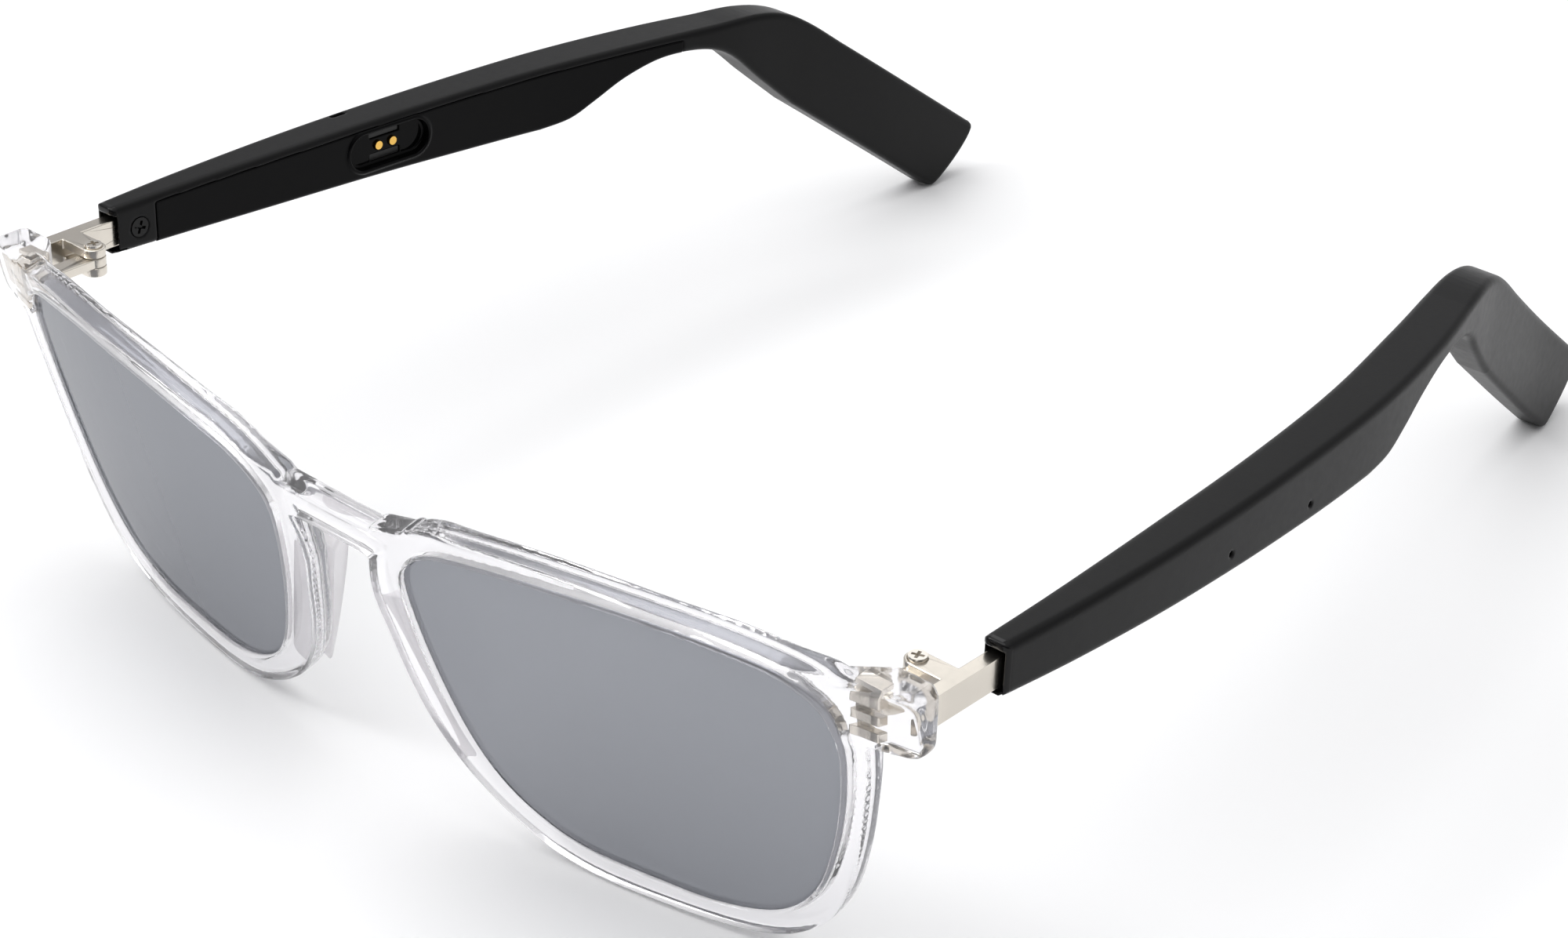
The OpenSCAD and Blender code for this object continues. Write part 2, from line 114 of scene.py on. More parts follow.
# Height along the pad, and the share of its full depth there.
PAD_SIDE = [
    (10.4, 0), (10.2, 0.6), (9.2, 0.92), (6.5, 1), (2.5, 0.97), (-3, 0.8), (-8, 0.55), (-10.6, 0.3),
    (-12.3, 0),
]
PAD_START = 1.5
# Temple seen from above: y, and the distance outboard of the pin.
PLAN_OUTER = [
    (5.3, 6.4), (17, 7.1), (34, 7.4), (52, 6.8), (72, 5.2), (88, 2.4), (101, -1), (112, -3.8), (130, -7.2),
    (147, -8.9),
]
PLAN_INNER = [
    (5.3, 3.2), (17, 2.9), (34, 2.1), (52, 1), (70, -0.9), (87, -4), (100, -6.7), (110, -8.3), (128, -11.2),
    (147, -13.4),
]
TEMPLE_FRONT, TEMPLE_TOP = 5.3, 1.6
# The front end of each shell is polished over this length.
POLISHED = 0.85
# Temple seen from the side: y and z, along the top, round the tip and back along the underside.
BEND_RUN = [(98, 1.6), (104, 1.6), (109, 0.6), (113.5, -1.8), (119, -5.8)]
TIP_RUN = [(143.6, -23.6), (145, -25.2), (142.6, -28.6), (138.2, -32.2), (136.4, -32)]
NECK_RUN = [
    (111, -13.2), (105, -7.9), (100.6, -3.8), (97, -1.9), (92.5, -1.2), (88, -1.4), (83, -2.8),
    (78.5, -4.9),
    (74.6, -6.5), (70, -6.9),
]
BELLY_RUN = [(70, -6.9), (58, -6.5), (42, -5.8), (24, -5.1), (5.3, -4.2)]

# Grid step of each mesh.
FRONT_STEP, PAD_STEP, SHELL_STEP, COVER_STEP = 0.22, 0.16, 0.2, 0.12
# Radii of rounded edges.
FRONT_EDGE, BACK_EDGE, OPENING_EDGE, BRIDGE_FILLET = 0.5, 1.1, 0.42, 0.25
LUG_EDGE, LUG_FILLET = 0.5, 0.4
PAD_EDGE, SHELL_EDGE, COVER_EDGE, COVER_RIM_EDGE = 0.6, 0.85, 0.12, 0.7
# Play around the lens in its groove, and around the inner cover in its recess.
LENS_GAP, COVER_GAP = 0.05, 0.04
LENS_RINGS, LENS_BEVEL = 24, 0.15
# Hollow of a shell: where it starts and ends, its top, its outer wall and the wall round its edge.
HOLLOW_START, HOLLOW_END, HOLLOW_TOP, HOLLOW_WALL = 12.6, 84, 0.55, 1.0
ARM_BORE_R = 1.23
PORT_HALF, PORT_WIDTH, PORT_LOW, PORT_HIGH = 4, 0.95, -9, -5.6
LIGHT_INSET = 0.95
WELL_SPACING, WELL_R = 1.1, 0.56
MAGNET_HALF, MAGNET_Z, MAGNET_HEIGHT = 2.3, 1.5, 0.45

# Camera, in the row frame.
CAM_AT = (0.21852, -0.25811, 0.20936)
CAM_RIGHT = (0.760, 0.6492, 0.0234)
CAM_DOWN = (0.350, -0.3792, -0.8573)
CAM_LENS, SENSOR = 75.1, 36.0
SHIFT_X, SHIFT_Y = -0.0612, -0.0041


# ------------------------------------------------------------------- camera
def make_camera():
    """Camera at the photograph's angle."""
    right = np.array(CAM_RIGHT) / np.linalg.norm(CAM_RIGHT)
    down = np.array(CAM_DOWN) - right * np.dot(CAM_DOWN, right)
    down /= np.linalg.norm(down)
    back = np.cross(right, -down)
    data = bpy.data.cameras.new("camera")
    data.sensor_width = SENSOR
    data.lens = CAM_LENS
    data.shift_x = SHIFT_X
    data.shift_y = SHIFT_Y
    data.clip_start = 0.01
    cam = bpy.data.objects.new("camera", data)
    rows = [(right[i], -down[i], back[i], CAM_AT[i]) for i in range(3)]
    cam.matrix_world = Matrix(rows + [(0, 0, 0, 1)])
    bpy.context.scene.collection.objects.link(cam)
    bpy.context.scene.camera = cam


make_camera()


# ---------------------------------------------------------------- geometry
def blend_point(a, b, c, d, t):
    """Point on the spline between b and c, at the share t."""
    square, cube = 2 * a - 5 * b + 4 * c - d, 3 * b - a - 3 * c + d
    return 0.5 * (2 * b + (c - a) * t + square * t * t + cube * t ** 3)


def closed_curve(points, steps):
    """Smooth closed loop through the points, with this many steps between two of them."""
    p = np.array(points, float)
    n = len(p)
    return np.array([
        blend_point(p[i - 1], p[i], p[(i + 1) % n], p[(i + 2) % n], k / steps)
        for i in range(n) for k in range(steps)])


def open_curve(points, steps):
    """Smooth run from the first point to the last."""
    p = np.array(points, float)
    n = len(p)
    run = [
        blend_point(p[max(i - 1, 0)], p[i], p[i + 1], p[min(i + 2, n - 1)], k / steps)
        for i in range(n - 1) for k in range(steps)]
    return np.array(run + [p[-1]])


def distance_2d(a, b, loop):
    """Signed distance from the points (a, b) to a closed loop, negative inside."""
    best = np.full(a.shape, 1e9, np.float64)
    inside = np.zeros(a.shape, bool)
    n = len(loop)
    for i in range(n):
        p, q = loop[i], loop[(i + 1) % n]
        ex, ey = q[0] - p[0], q[1] - p[1]
        length2 = ex * ex + ey * ey
        if length2 < 1e-12:
            continue
        wx, wy = a - p[0], b - p[1]
        t = np.clip((wx * ex + wy * ey) / length2, 0, 1)
        best = np.minimum(best, (wx - ex * t) ** 2 + (wy - ey * t) ** 2)
        crosses = (p[1] > b) != (q[1] > b)
        with np.errstate(divide="ignore", invalid="ignore"):
            at = p[0] + (b - p[1]) / (ey if ey != 0 else 1e-12) * ex
        inside ^= crosses & (a < at)
    d = np.sqrt(best)
    return np.where(inside, -d, d)


def both(*fields, r):
    """Intersection of fields with edges rounded to radius r."""
    w = [f + r for f in fields]
    outer = np.sqrt(sum(np.maximum(v, 0) ** 2 for v in w))
    inner = w[0]
    for v in w[1:]:
        inner = np.maximum(inner, v)
    return outer + np.minimum(inner, 0) - r


def joined(f, g, k):
    """Union of two fields with a fillet of about k."""
    h = np.maximum(k - np.abs(f - g), 0) / k
    return np.minimum(f, g) - h * h * k * 0.25


def cut(f, g, r):
    """f with g taken away, the edge rounded to radius r."""
    return both(f, -g, r=r)


# Fields are cut off at this distance from their surface.
BAND = 0.9


def surface(field, low, step):
    """Points and quads of the zero surface of a field on a regular grid, in the grid's own frame."""
    f = np.clip(field, -BAND, BAND).astype(np.float32)
    grid = openvdb.FloatGrid(BAND)
    grid.copyFromArray(f)
    points, quads = grid.convertToQuads(0.0)
    p = points.astype(np.float64)
    for _ in range(3):
        value, slope = sample(f, p)
        length2 = np.maximum((slope ** 2).sum(axis=1), 1e-6)
        move = slope * (value / length2)[:, None]
        size = np.linalg.norm(move, axis=1)
        p -= move * np.minimum(1, 0.5 / np.maximum(size, 1e-9))[:, None]
    return np.array(low) + p * step, quads


def sample(f, p):
    """Trilinear value and slope of f at index positions p."""
    i = np.clip(np.floor(p).astype(int), 0, np.array(f.shape) - 2)
    t = p - i
    c = [[[f[i[:, 0] + a, i[:, 1] + b, i[:, 2] + d] for d in (0, 1)] for b in (0, 1)] for a in (0, 1)]
    x, y, z = t[:, 0], t[:, 1], t[:, 2]

    def lerp(u, v, w):
        return u + (v - u) * w

    planes = [[lerp(c[a][b][0], c[a][b][1], z) for b in (0, 1)] for a in (0, 1)]
    rows = [lerp(planes[a][0], planes[a][1], y) for a in (0, 1)]
    value = lerp(rows[0], rows[1], x)
    dx = rows[1] - rows[0]
    dy = lerp(planes[0][1] - planes[0][0], planes[1][1] - planes[1][0], x)
    dz = lerp(
        lerp(c[0][0][1] - c[0][0][0], c[0][1][1] - c[0][1][0], y),
        lerp(c[1][0][1] - c[1][0][0], c[1][1][1] - c[1][1][0], y), x)
    return value, np.stack([dx, dy, dz], axis=1)


def to_row(p):
    """Hinge frame in millimetres to row frame in metres."""
    c, s = math.cos(STAND_TILT), math.sin(STAND_TILT)
    y = p[:, 1] * c + p[:, 2] * s + STAND_Y
    z = -p[:, 1] * s + p[:, 2] * c + STAND_Z
    return np.stack([p[:, 0], y, z], axis=1) * 0.001


def from_face(x, height, depth):
    """Face frame (x, height along the face, depth behind it) to the hinge frame."""
    y = WRAP_R - np.sqrt((WRAP_R - depth) ** 2 - x * x)
    c, s = math.cos(FACE_TILT), math.sin(FACE_TILT)
    return np.stack([x, FACE_Y + y * c - height * s, y * s + height * c], axis=-1)


def add_mesh(name, points, faces, material, body, nodes):
    """Adds a mesh given in the hinge frame, turned outward, riding on a body in place of CAD nodes."""
    v = to_row(points)
    tri = np.concatenate([faces[:, [0, 1, 2]], faces[:, [0, 2, 3]]]) if faces.shape[1] == 4 else faces
    a, b, c = v[tri[:, 0]], v[tri[:, 1]], v[tri[:, 2]]
    if np.einsum("ij,ij->i", a, np.cross(b, c)).sum() < 0:
        faces = faces[:, ::-1]
    mesh = bpy.data.meshes.new(name)
    mesh.vertices.add(len(v))
    mesh.vertices.foreach_set("co", v.astype(np.float32).ravel())
    side = faces.shape[1]
    mesh.loops.add(faces.size)
    mesh.loops.foreach_set("vertex_index", faces.astype(np.int32).ravel())
    mesh.polygons.add(len(faces))
    mesh.polygons.foreach_set("loop_start", np.arange(0, faces.size, side, dtype=np.int32))
    mesh.polygons.foreach_set("use_smooth", np.full(len(faces), True))
    mesh.update(calc_edges=True)
    mesh.validate()
    obj = bpy.data.objects.new(name, mesh)
    bpy.context.scene.collection.objects.link(obj)
    mesh.materials.append(material)
    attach(obj, body)
    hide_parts(*nodes)
    return obj


SLOT_OF = {s["node"]: s["material_slot"] for s in frame["record"]["subparts"]}


def axis(low, high, step):
    """Grid places from low to high or just past it."""
    return low + step * np.arange(int(math.ceil((high - low) / step)) + 1)


# ---------------------------------------------------------------- materials
def new_material(name, color, roughness, metallic=0.0, specular=0.5, noise_scale=900.0, rough_span=0.08,
                 bump=0.00001, bump_scale=2500.0, tint=0.06, **more):
    """Principled material with mottled roughness, a faint colour drift and a fine bump."""
    mat = bpy.data.materials.new(name)
    mat.use_nodes = True
    tree = mat.node_tree
    shader = tree.nodes["Principled BSDF"]
    shader.inputs["Metallic"].default_value = metallic
    shader.inputs["Specular IOR Level"].default_value = specular
    for key, value in more.items():
        shader.inputs[key.replace("_", " ")].default_value = value
    where = tree.nodes.new("ShaderNodeTexCoord")
    cloud = tree.nodes.new("ShaderNodeTexNoise")
    cloud.inputs["Scale"].default_value = noise_scale
    cloud.inputs["Detail"].default_value = 5
    tree.links.new(where.outputs["Object"], cloud.inputs["Vector"])
    rough = tree.nodes.new("ShaderNodeMapRange")
    rough.inputs["To Min"].default_value = max(roughness - rough_span / 2, 0.0)
    rough.inputs["To Max"].default_value = roughness + rough_span / 2
    tree.links.new(cloud.outputs["Fac"], rough.inputs["Value"])
    tree.links.new(rough.outputs["Result"], shader.inputs["Roughness"])
    drift = tree.nodes.new("ShaderNodeTexNoise")
    drift.inputs["Scale"].default_value = noise_scale * 0.15
    tree.links.new(where.outputs["Object"], drift.inputs["Vector"])
    ramp = tree.nodes.new("ShaderNodeValToRGB")
    ramp.color_ramp.elements[0].position = 0.35
    ramp.color_ramp.elements[1].position = 0.65
    ramp.color_ramp.elements[0].color = tuple(c * (1 - tint) for c in color) + (1,)
    ramp.color_ramp.elements[1].color = tuple(min(c * (1 + tint), 1) for c in color) + (1,)
    tree.links.new(drift.outputs["Fac"], ramp.inputs["Fac"])
    tree.links.new(ramp.outputs["Color"], shader.inputs["Base Color"])
    if bump:
        grain = tree.nodes.new("ShaderNodeTexNoise")
        grain.inputs["Scale"].default_value = bump_scale
        grain.inputs["Detail"].default_value = 3
        tree.links.new(where.outputs["Object"], grain.inputs["Vector"])
        bumper = tree.nodes.new("ShaderNodeBump")
        bumper.inputs["Strength"].default_value = 0.6
        bumper.inputs["Distance"].default_value = bump
        tree.links.new(grain.outputs["Fac"], bumper.inputs["Height"])
        tree.links.new(bumper.outputs["Normal"], shader.inputs["Normal"])
    return mat


MATERIALS = {
    "clear_front": new_material(
        "clear_front", (0.975, 0.968, 0.985), 0.03, rough_span=0.02, bump=0, tint=0.004,
        Transmission_Weight=0.95, IOR=1.36),
    "clear_pad": new_material(
        "clear_pad", (0.97, 0.955, 0.97), 0.3, rough_span=0.06, bump=0, tint=0.004,
        Transmission_Weight=0.5, IOR=1.1),
    "tinted_lens": new_material(
        "tinted_lens", (0.35, 0.363, 0.394), 0.06, metallic=0.5, specular=0.22, rough_span=0.03, bump=0,
        tint=0.02, noise_scale=40, Specular_Tint=(0.45, 0.45, 0.46, 1), Alpha=0.9),
    "nickel": new_material(
        "nickel", (0.70, 0.655, 0.585), 0.24, metallic=1.0, rough_span=0.14, bump=0.000012, bump_scale=3000),
    "nickel_screw": new_material(
        "nickel_screw", (0.74, 0.70, 0.64), 0.2, metallic=1.0, rough_span=0.12, bump=0.000008),
    "black_screw": new_material("black_screw", (0.006, 0.006, 0.006), 0.16, specular=0.2, rough_span=0.1),
    "satin_black": new_material(
        "satin_black", (0.005, 0.005, 0.0052), 0.36, specular=0.14, rough_span=0.10, bump=0.000006,
        bump_scale=4500),
    "polished_black": new_material(
        "polished_black", (0.004, 0.004, 0.0042), 0.1, specular=0.22, rough_span=0.05, bump=0.000002,
        bump_scale=1500),
    "gloss_black": new_material(
        "gloss_black", (0.002, 0.002, 0.0022), 0.1, specular=0.075, rough_span=0.05, bump=0.000002,
        bump_scale=1500),
    "gold": new_material("gold", (0.80, 0.49, 0.12), 0.24, metallic=1.0, rough_span=0.1, bump=0.000006),
    "magnet": new_material("magnet", (0.015, 0.015, 0.015), 0.3, metallic=0.5, rough_span=0.1),
    "cell_foil": new_material(
        "cell_foil", (0.68, 0.7, 0.73), 0.32, metallic=1.0, bump=0.00003, bump_scale=600),
    "board": new_material("board", (0.03, 0.16, 0.08), 0.35, bump=0.00002, bump_scale=1200),
    "copper_film": new_material("copper_film", (0.72, 0.42, 0.24), 0.3, metallic=1.0),
    "mic_can": new_material("mic_can", (0.03, 0.03, 0.03), 0.4, specular=0.2),
    "speaker_case": new_material("speaker_case", (0.06, 0.06, 0.065), 0.5),
    "steel_mesh": new_material("steel_mesh", (0.35, 0.35, 0.37), 0.35, metallic=1.0),
}


# -------------------------------------------------------------------- front
def front_field(x, height, depth):
    """Clear front, for x >= 0, on a grid of the face frame."""
    flat_x, flat_h = np.meshgrid(x, height, indexing="ij")
    rim = distance_2d(flat_x, flat_h, closed_curve(RIM, 4))
    half = np.array(BRIDGE_TOP + [tuple(p) for p in open_curve(KEYHOLE, 4)])
    bridge = distance_2d(flat_x, flat_h, outline_both(half))
    outline = joined(rim, bridge, BRIDGE_FILLET)
    hole = distance_2d(flat_x, flat_h, closed_curve(OPENING, 4))
    d = depth[None, None, :]
    edge = outline[:, :, None] + 0 * d
    front_half = both(edge, -d + 0 * edge, r=FRONT_EDGE)
    back_half = both(edge, d - RIM_DEPTH + 0 * edge, r=BACK_EDGE)
    plate = cut(np.maximum(front_half, back_half), hole[:, :, None] + 0 * d, OPENING_EDGE)
    gx, gh, gd = np.meshgrid(x, height, depth, indexing="ij")
    p = from_face(gx, gh, gd)
    plan = distance_2d_grid(p[..., 0] - HINGE_X, p[..., 1], np.array(LUG_PLAN, float))
    mid_x = HINGE_X - LUG_INBOARD + LUG_WIDTH / 2
    mid_z = (LUG_TOP + LUG_BOTTOM) / 2
    qx = np.abs(p[..., 0] - mid_x) - LUG_WIDTH / 2 + LUG_ROUND
    qz = np.abs(p[..., 2] - mid_z) - (LUG_TOP - LUG_BOTTOM) / 2 + LUG_ROUND
    corner = np.sqrt(np.maximum(qx, 0) ** 2 + np.maximum(qz, 0) ** 2)
    tube = corner + np.minimum(np.maximum(qx, qz), 0) - LUG_ROUND
    lug = both(plan, tube, -gd, r=LUG_EDGE)
    lug = cut(lug, np.broadcast_to(hole[:, :, None], lug.shape), 0.4)
    solid = joined(plate, lug, LUG_FILLET)
    across = np.abs(d - RIM_DEPTH / 2) - LENS_T / 2 - LENS_GAP
    channel = np.maximum((hole - GROOVE - LENS_GAP)[:, :, None], across)
    return cut(solid, channel, 0.05)


def outline_both(half):
    """Closed loop of a half outline that starts and ends on x = 0, with its mirror image."""
    other = half[::-1] * (-1.0, 1.0)
    return np.concatenate([half, other[1:-1]])


def distance_2d_grid(a, b, loop):
    """Like distance_2d, on a big grid, in single precision."""
    return distance_2d(a.astype(np.float32), b.astype(np.float32), loop).astype(np.float32)


def make_front():
    """Clear front, worked out for the wearer's left half and mirrored."""
    half = axis(0, 69.4, FRONT_STEP)
    height = axis(-40.4, 7.0, FRONT_STEP)
    depth = axis(-0.8, 15.4, FRONT_STEP)
    f = front_field(half, height, depth)
    whole = np.concatenate([f[:0:-1], f])
    low = (-half[-1], height[0], depth[0])
    p, quads = surface(whole, low, FRONT_STEP)
    p = from_face(p[:, 0], p[:, 1], p[:, 2])
    add_mesh("clear_front", p, quads, MATERIALS["clear_front"], "front", ["front_frame"])


def make_pads():
    """Nose pads: a leaning prism whose cross section and side view are both rounded."""
    back = RIM_DEPTH + PAD_DEPTH
    cross = np.array([
        (-2.6, PAD_START), (2.2, PAD_START), (2.6, back), (1.4, back + 0.5), (0.2, back - 0.3)])
    side = np.array([(PAD_START + share * (back - PAD_START), z) for z, share in open_curve(PAD_SIDE, 3)])
    a = axis(-4.2, 4.2, PAD_STEP)
    y = axis(1.0, back + 1.4, PAD_STEP)
    z = axis(-13.6, 11.6, PAD_STEP)
    ga, gy = np.meshgrid(a, y, indexing="ij")
    f_cross = distance_2d(ga, gy, cross)[:, :, None]
    gy2, gz = np.meshgrid(y, z, indexing="ij")
    f_side = distance_2d(gy2, gz, side)[None, :, :]
    A, Y, Z = np.meshgrid(a, y, z, indexing="ij")
    c, s = math.cos(PAD_LEAN), math.sin(PAD_LEAN)
    X = PAD_AT[0] + A * c - Z * s
    depth = WRAP_R - np.sqrt((WRAP_R - Y) ** 2 + X * X)
    f = both(f_cross + 0 * f_side, f_side + 0 * f_cross, r=PAD_EDGE)
    f = both(f, RIM_DEPTH + 0.02 - depth, r=0.12)
    p, quads = surface(f, (a[0], y[0], z[0]), PAD_STEP)
    x = PAD_AT[0] + p[:, 0] * c - p[:, 2] * s
    h = PAD_AT[1] + p[:, 2] * c + p[:, 0] * s
    ct, st = math.cos(FACE_TILT), math.sin(FACE_TILT)
    pts = np.stack([x, FACE_Y + p[:, 1] * ct - h * st, p[:, 1] * st + h * ct], axis=1)
    for name, sign in (("left", 1), ("right", -1)):
        add_mesh(f"clear_nose_pad_{name}", pts * (sign, 1, 1), quads, MATERIALS["clear_pad"], "front",
                 [f"nose_pad_{name}"])


def grown(loop, d):
    """Loop moved outward by d, for a loop whose area is on its right."""
    t = np.roll(loop, -1, axis=0) - np.roll(loop, 1, axis=0)
    n = np.stack([-t[:, 1], t[:, 0]], axis=1) / np.linalg.norm(t, axis=1)[:, None]
    return loop + n * d


def make_lenses():
    """Curved lenses with a bevelled edge, as rings of points from the middle out and back again."""
    edge = grown(closed_curve(OPENING, 8), GROOVE - LENS_GAP)
    centre = edge.mean(axis=0)
    front, back = (RIM_DEPTH - LENS_T) / 2, (RIM_DEPTH + LENS_T) / 2
    shares = np.linspace(0, 1, LENS_RINGS)[1:]
    layers = []
    for k, share in enumerate(shares):
        lift = LENS_BEVEL if k == len(shares) - 1 else 0
        layers.append((centre + (edge - centre) * share, front + lift))
    inner = grown(edge, -LENS_BEVEL)
    layers.insert(len(layers) - 1, (inner, front))
    down = [(loop, front + back - d) for loop, d in reversed(layers)]
    chain = layers + down
    pts = [from_face(np.array([centre[0]]), np.array([centre[1]]), np.array([front]))]
    for loop, d in chain:
        pts.append(from_face(loop[:, 0], loop[:, 1], np.full(len(loop), d)))
    pts.append(from_face(np.array([centre[0]]), np.array([centre[1]]), np.array([back])))
    points = np.concatenate(pts)
    n = len(edge)
    i = np.arange(n)
    j = (i + 1) % n
    faces = []
    for k in range(len(chain) - 1):
        a = 1 + k * n
        faces.append(np.stack([a + i, a + j, a + n + j, a + n + i], axis=1))
    quads = np.concatenate(faces)
    last = len(points) - 1
    first_ring, last_ring = 1, 1 + (len(chain) - 1) * n
    cap = np.concatenate([
        np.stack([np.zeros(n, int), first_ring + j, first_ring + i], axis=1),
        np.stack([np.full(n, last), last_ring + i, last_ring + j], axis=1)])
    tris = np.concatenate([quads[:, [0, 1, 2]], quads[:, [0, 2, 3]], cap])
    for name, sign in (("left", 1), ("right", -1)):
        add_mesh(f"tinted_lens_{name}", points * (sign, 1, 1), tris, MATERIALS["tinted_lens"], "front",
                 [f"lens_{name}"])


# ------------------------------------------------------------------ temples
def plan_curves():
    """Fine plan curves of the outer and inner faces, softened where the coarse points meet."""
    y = np.linspace(0, 150, 601)
    kernel = np.hanning(13)
    kernel /= kernel.sum()

    def soft(curve):
        slope_a = (curve[1, 1] - curve[0, 1]) / (curve[1, 0] - curve[0, 0])
        v = np.interp(y, curve[:, 0], curve[:, 1])
        v = np.where(y < curve[0, 0], curve[0, 1] + slope_a * (y - curve[0, 0]), v)
        padded = np.pad(v, 6, mode="reflect", reflect_type="odd")
        return np.convolve(padded, kernel, mode="valid")

    return y, soft(open_curve(PLAN_OUTER, 12)), soft(open_curve(PLAN_INNER, 12))


PLAN_Y, PLAN_OUT, PLAN_IN = plan_curves()


def outer_u(y):
    """Distance of the temple's outer face outboard of the pin."""
    return np.interp(y, PLAN_Y, PLAN_OUT)


def inner_u(y):
    """Distance of the temple's inner face outboard of the pin."""
    return np.interp(y, PLAN_Y, PLAN_IN)


def middle_u(y):
    """Distance of the temple's middle outboard of the pin."""
    return (outer_u(y) + inner_u(y)) / 2


SIDE = np.concatenate([
    [(TEMPLE_FRONT, TEMPLE_TOP)], open_curve(BEND_RUN, 6), open_curve(TIP_RUN, 4), open_curve(NECK_RUN, 5),
    open_curve(BELLY_RUN, 4)])


def box_distance(p, low, high):
    """Signed distance to a box; p is a list of three arrays."""
    q = [np.abs(v - (a + b) / 2) - (b - a) / 2 for v, a, b in zip(p, low, high)]
    outside = np.sqrt(sum(np.maximum(v, 0) ** 2 for v in q))
    return outside + np.minimum(np.maximum(np.maximum(q[0], q[1]), q[2]), 0)


def shell_field(y, v, z):
    """Temple shell on a grid of y, distance from the temple's middle, and z, with all its openings."""
    gy, gz = np.meshgrid(y, z, indexing="ij")
    side = distance_2d(gy, gz, SIDE)[:, None, :]
    half = ((outer_u(y) - inner_u(y)) / 2)[:, None, None]
    V = v[None, :, None]
    Y = y[:, None, None]
    Z = z[None, None, :]
    slab = np.abs(V) - half
    f = both(side + 0 * slab, slab + 0 * side, r=SHELL_EDGE)
    U = V + middle_u(y)[:, None, None]
    one = np.zeros_like(f)
    here = [U + one, Y + one, Z + one]
    # mouth and tunnel of the arm
    mouth_low = (ARM_IN - 0.25, 0, -ARM_H - 0.45)
    mouth_high = (ARM_IN + ARM_T + 0.3, 7.2, 0.5)
    f = cut(f, box_distance(here, mouth_low, mouth_high) - 0.15, 0.18)
    tunnel = box_distance(here, (ARM_IN, 0, -ARM_H), (ARM_IN + ARM_T, ARM_END, 0))
    f = cut(f, tunnel - 0.02, 0.05)
    # recess of the inner cover
    from_inner = U - inner_u(y)[:, None, None]
    recess = np.maximum.reduce([
        from_inner - COVER_T + one, COVER_START - Y + one, Y - COVER_END + one, Z - COVER_TOP + one])
    f = cut(f, recess, 0.1)
    # hollow, closed by the cover
    hollow = np.maximum.reduce([
        from_inner - (2 * half - HOLLOW_WALL) + one, HOLLOW_START - Y + one, Y - HOLLOW_END + one,
        Z - HOLLOW_TOP + one, side + HOLLOW_WALL + one])
    f = cut(f, hollow, 0.05)
    # counterbore of the arm screw
    round_screw = np.sqrt((Y - ARM_SCREW_Y) ** 2 + (Z + ARM_H / 2) ** 2) - ARM_BORE_R + one
    f = cut(f, np.maximum(round_screw, U - ARM_IN - 0.05), 0.12)
    # pinholes, and the speaker's port in the underside
    for mic_y, mic_z in MIC_PLACES:
        round_hole = np.sqrt((Y - mic_y) ** 2 + (Z - mic_z) ** 2) - MIC_R + one
        f = cut(f, np.maximum(round_hole, -V), 0.08)
    port_low = (-PORT_WIDTH, PORT_Y - PORT_HALF, PORT_LOW)
    port_high = (PORT_WIDTH, PORT_Y + PORT_HALF, PORT_HIGH)
    f = cut(f, box_distance([V + one, Y + one, Z + one], port_low, port_high) - 0.05, 0.12)
    return f


def light_slot(y, v, z):
    """Slot of the status light, in the top outer edge."""
    V, Y, Z = v[None, :, None], y[:, None, None], z[None, None, :]
    half = ((outer_u(y) - inner_u(y)) / 2)[:, None, None]
    past_end = np.maximum(np.abs(Y - LIGHT_Y) - LIGHT_HALF, 0)
    slot = np.sqrt((V - half + LIGHT_INSET) ** 2 + past_end ** 2) - LIGHT_R
    return np.maximum(slot + np.zeros((len(y), len(v), len(z))), 0.4 - Z)


def make_shells():
    """Black temple shells. Only the right one has the slot of the status light."""
    y = axis(4.4, 146.6, SHELL_STEP)
    z = axis(-33.4, 2.6, SHELL_STEP)
    v = axis(-4.0, 4.0, SHELL_STEP)
    plain = shell_field(y, v, z)
    lit = cut(plain, light_slot(y, v, z), 0.08)
    for name, sign, field in (("left", 1, plain), ("right", -1, lit)):
        p, quads = surface(field, (y[0], v[0], z[0]), SHELL_STEP)
        u = p[:, 1] + middle_u(p[:, 0])
        pts = np.stack([sign * (HINGE_X + u), p[:, 0], p[:, 2]], axis=1)
        shell = add_mesh(f"black_shell_{name}", pts, quads, MATERIALS["satin_black"], f"{name}_temple",
                         [f"temple_shell_{name}"])
        shell.data.materials.append(MATERIALS["polished_black"])
        polished = pts[quads].mean(axis=1)[:, 1] < TEMPLE_FRONT + POLISHED
        shell.data.polygons.foreach_set("material_index", polished.astype(np.int32))


